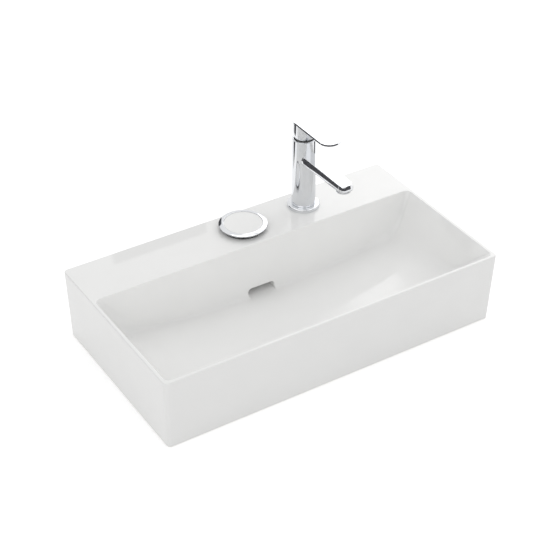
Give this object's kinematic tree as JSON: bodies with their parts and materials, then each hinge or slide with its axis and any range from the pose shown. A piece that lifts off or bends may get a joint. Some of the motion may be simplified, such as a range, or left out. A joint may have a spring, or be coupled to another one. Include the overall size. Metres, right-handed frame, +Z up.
{
  "type": "basin with mixer tap",
  "caption": "Shallow rectangular ceramic basin with a rear deck, concealed waste under a round press cap, and a single-lever mixer tap that turns and lifts.",
  "frame": {"origin": "middle of the basin's base, on the surface it stands on", "axes": "+X along the front edge, towards the tap's side; +Y from the user to the wall; +Z up"},
  "size_m": [0.6, 0.33, 0.2875],
  "materials": {
    "glazed_ceramic": "glossy glaze",
    "chrome": "polished",
    "waste_chrome": "polished",
    "brass": "machined",
    "steel": "bright zinc",
    "rubber": "matt",
    "white_plastic": "moulded",
    "grey_plastic": "moulded",
    "alumina": "lapped",
    "index_plastic": "moulded"
  },
  "bodies": {
    "root": {"basin": "glazed_ceramic", "waste_body": "waste_chrome", "waste_upper_seal": "rubber", "waste_lower_seal": "rubber", "waste_backnut": "waste_chrome", "click_housing": "grey_plastic", "click_spring": "steel", "tap_body": "chrome", "base_ring": "chrome", "base_seal": "rubber", "mounting_stud": "steel", "rubber_washer": "rubber", "clamp_plate": "steel", "stud_nut": "brass", "aerator_housing": "chrome", "aerator_insert": "white_plastic", "aerator_seal": "rubber", "cartridge_housing": "white_plastic", "cartridge_base": "grey_plastic", "inlet_seals": "rubber", "fixed_disc": "alumina", "cartridge_nut": "brass"},
    "click": {"click_plunger": "grey_plastic"},
    "plug": {"standpipe": "white_plastic", "plug_seal": "rubber", "stem_rod": "steel", "cap_ring": "chrome", "cap_insert": "glazed_ceramic", "cap_seal": "rubber"},
    "rotor": {"rotor": "grey_plastic", "stem_pin": "steel"},
    "discs": {"disc_carrier": "grey_plastic", "moving_disc": "alumina"},
    "handle": {"handle": "chrome", "lever_stem": "steel", "handle_screw": "steel", "index_plug": "index_plastic"}
  },
  "joints": [
    {"name": "waste_press", "type": "slide", "parent": "root", "child": "click", "axis": [0, 0, 1], "range_m": [-0.004, 0], "stiffness_N_per_m": 1500, "springref_m": 0.006, "deforming": ["click_spring"]},
    {"name": "plug_lift_off", "type": "slide", "parent": "click", "child": "plug", "axis": [0, 0, 1], "range_m": [0, 0.105]},
    {"name": "handle_turn", "type": "hinge", "parent": "root", "child": "rotor", "pos_m": [0.12, 0.123, 0.259], "axis": [0, 0, 1], "range_deg": [-45, 45]},
    {"name": "handle_lift", "type": "hinge", "parent": "rotor", "child": "handle", "pos_m": [0.12, 0.123, 0.259], "axis": [-1, 0, 0], "range_deg": [0, 18]},
    {"name": "disc_slide", "type": "slide", "parent": "rotor", "child": "discs", "axis": [0, 1, 0], "range_m": [-0.0042, 0]}
  ],
  "couplings": [
    {"joint": "disc_slide", "follows": "handle_lift", "m_per_rad": -0.01279}
  ]
}
